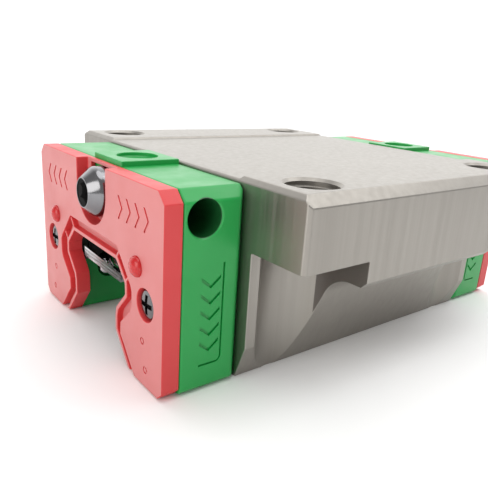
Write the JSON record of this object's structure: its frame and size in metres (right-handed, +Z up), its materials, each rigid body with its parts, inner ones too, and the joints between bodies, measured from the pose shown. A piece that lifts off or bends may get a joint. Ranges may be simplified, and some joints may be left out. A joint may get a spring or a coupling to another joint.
{
  "type": "linear guide carriage",
  "caption": "Flanged carriage for a profiled guide rail: steel block with a rail channel, recirculating rows of balls, moulded end caps, wiping seals and grease plugs.",
  "frame": {"origin": "centre of the carriage on the plane of the underside of its legs", "axes": "+X along the direction of travel, +Y across the carriage, +Z up, square to the flange top"},
  "size_m": [0.0864, 0.07, 0.0305],
  "materials": {
    "block_steel": "ground and milled bearing steel, lightly oiled, satin",
    "cap_plastic": "moulded green acetal, satin",
    "seal_plastic": "moulded red elastomer on a stiff core, satin",
    "plug_steel": "plated steel, polished",
    "screw_steel": "zinc-plated steel",
    "retainer_steel": "rolled stainless strip",
    "ball_steel": "polished bearing steel",
    "guide_plastic": "moulded black acetal",
    "seal_rubber": "black nitrile rubber"
  },
  "bodies": {
    "carriage": {"block": "block_steel", "top_retainer": "retainer_steel", "end_cap_front": "cap_plastic", "end_seal_front": "seal_plastic", "grease_plug_front": "plug_steel", "seal_screw_front_left": "screw_steel", "return_guide_front_left": "guide_plastic", "seal_screw_front_right": "screw_steel", "return_guide_front_right": "guide_plastic", "end_cap_rear": "cap_plastic", "end_seal_rear": "seal_plastic", "grease_plug_rear": "plug_steel", "seal_screw_rear_left": "screw_steel", "return_guide_rear_left": "guide_plastic", "seal_screw_rear_right": "screw_steel", "return_guide_rear_right": "guide_plastic", "side_retainer_left": "retainer_steel", "lower_retainer_left": "retainer_steel", "bottom_seal_left": "seal_rubber", "side_retainer_right": "retainer_steel", "lower_retainer_right": "retainer_steel", "bottom_seal_right": "seal_rubber"},
    "load_row_upper_left": {"load_row_upper_left": "ball_steel"},
    "return_row_upper_left": {"return_row_upper_left": "ball_steel"},
    "turn_front_upper_left": {"turn_front_upper_left": "ball_steel"},
    "turn_rear_upper_left": {"turn_rear_upper_left": "ball_steel"},
    "load_row_lower_left": {"load_row_lower_left": "ball_steel"},
    "return_row_lower_left": {"return_row_lower_left": "ball_steel"},
    "turn_front_lower_left": {"turn_front_lower_left": "ball_steel"},
    "turn_rear_lower_left": {"turn_rear_lower_left": "ball_steel"},
    "load_row_upper_right": {"load_row_upper_right": "ball_steel"},
    "return_row_upper_right": {"return_row_upper_right": "ball_steel"},
    "turn_front_upper_right": {"turn_front_upper_right": "ball_steel"},
    "turn_rear_upper_right": {"turn_rear_upper_right": "ball_steel"},
    "load_row_lower_right": {"load_row_lower_right": "ball_steel"},
    "return_row_lower_right": {"return_row_lower_right": "ball_steel"},
    "turn_front_lower_right": {"turn_front_lower_right": "ball_steel"},
    "turn_rear_lower_right": {"turn_rear_lower_right": "ball_steel"}
  },
  "joints": [
    {"name": "load_row_upper_left_travel", "type": "slide", "parent": "carriage", "child": "load_row_upper_left", "axis": [1, 0, 0], "range_m": [-0.00238, 0.00238]},
    {"name": "return_row_upper_left_travel", "type": "slide", "parent": "carriage", "child": "return_row_upper_left", "axis": [1, 0, 0], "range_m": [-0.0024, 0.0024]},
    {"name": "turn_front_upper_left_roll", "type": "hinge", "parent": "carriage", "child": "turn_front_upper_left", "pos_m": [-0.0293, 0.0146, 0.0186], "axis": [0, -0.5647, 0.8253], "range_deg": [-30, 30]},
    {"name": "turn_rear_upper_left_roll", "type": "hinge", "parent": "carriage", "child": "turn_rear_upper_left", "pos_m": [0.0293, 0.0146, 0.0186], "axis": [0, -0.5647, 0.8253], "range_deg": [-30, 30]},
    {"name": "load_row_lower_left_travel", "type": "slide", "parent": "carriage", "child": "load_row_lower_left", "axis": [1, 0, 0], "range_m": [-0.00238, 0.00238]},
    {"name": "return_row_lower_left_travel", "type": "slide", "parent": "carriage", "child": "return_row_lower_left", "axis": [1, 0, 0], "range_m": [-0.0024, 0.0024]},
    {"name": "turn_front_lower_left_roll", "type": "hinge", "parent": "carriage", "child": "turn_front_lower_left", "pos_m": [-0.0293, 0.0146, 0.007], "axis": [0, 0.5647, 0.8253], "range_deg": [-30, 30]},
    {"name": "turn_rear_lower_left_roll", "type": "hinge", "parent": "carriage", "child": "turn_rear_lower_left", "pos_m": [0.0293, 0.0146, 0.007], "axis": [0, 0.5647, 0.8253], "range_deg": [-30, 30]},
    {"name": "load_row_upper_right_travel", "type": "slide", "parent": "carriage", "child": "load_row_upper_right", "axis": [1, 0, 0], "range_m": [-0.00238, 0.00238]},
    {"name": "return_row_upper_right_travel", "type": "slide", "parent": "carriage", "child": "return_row_upper_right", "axis": [1, 0, 0], "range_m": [-0.0024, 0.0024]},
    {"name": "turn_front_upper_right_roll", "type": "hinge", "parent": "carriage", "child": "turn_front_upper_right", "pos_m": [-0.0293, -0.0146, 0.0186], "axis": [0, -0.5647, -0.8253], "range_deg": [-30, 30]},
    {"name": "turn_rear_upper_right_roll", "type": "hinge", "parent": "carriage", "child": "turn_rear_upper_right", "pos_m": [0.0293, -0.0146, 0.0186], "axis": [0, -0.5647, -0.8253], "range_deg": [-30, 30]},
    {"name": "load_row_lower_right_travel", "type": "slide", "parent": "carriage", "child": "load_row_lower_right", "axis": [1, 0, 0], "range_m": [-0.00238, 0.00238]},
    {"name": "return_row_lower_right_travel", "type": "slide", "parent": "carriage", "child": "return_row_lower_right", "axis": [1, 0, 0], "range_m": [-0.0024, 0.0024]},
    {"name": "turn_front_lower_right_roll", "type": "hinge", "parent": "carriage", "child": "turn_front_lower_right", "pos_m": [-0.0293, -0.0146, 0.007], "axis": [0, 0.5647, -0.8253], "range_deg": [-30, 30]},
    {"name": "turn_rear_lower_right_roll", "type": "hinge", "parent": "carriage", "child": "turn_rear_lower_right", "pos_m": [0.0293, -0.0146, 0.007], "axis": [0, 0.5647, -0.8253], "range_deg": [-30, 30]}
  ],
  "couplings": [
    {"joint": "return_row_upper_left_travel", "follows": "load_row_upper_left_travel", "ratio": -1},
    {"joint": "turn_front_upper_left_roll", "follows": "load_row_upper_left_travel", "rad_per_m": 217.19},
    {"joint": "turn_rear_upper_left_roll", "follows": "load_row_upper_left_travel", "rad_per_m": 217.19},
    {"joint": "return_row_lower_left_travel", "follows": "load_row_lower_left_travel", "ratio": -1},
    {"joint": "turn_front_lower_left_roll", "follows": "load_row_lower_left_travel", "rad_per_m": 217.19},
    {"joint": "turn_rear_lower_left_roll", "follows": "load_row_lower_left_travel", "rad_per_m": 217.19},
    {"joint": "return_row_upper_right_travel", "follows": "load_row_upper_right_travel", "ratio": -1},
    {"joint": "turn_front_upper_right_roll", "follows": "load_row_upper_right_travel", "rad_per_m": 217.19},
    {"joint": "turn_rear_upper_right_roll", "follows": "load_row_upper_right_travel", "rad_per_m": 217.19},
    {"joint": "return_row_lower_right_travel", "follows": "load_row_lower_right_travel", "ratio": -1},
    {"joint": "turn_front_lower_right_roll", "follows": "load_row_lower_right_travel", "rad_per_m": 217.19},
    {"joint": "turn_rear_lower_right_roll", "follows": "load_row_lower_right_travel", "rad_per_m": 217.19}
  ]
}
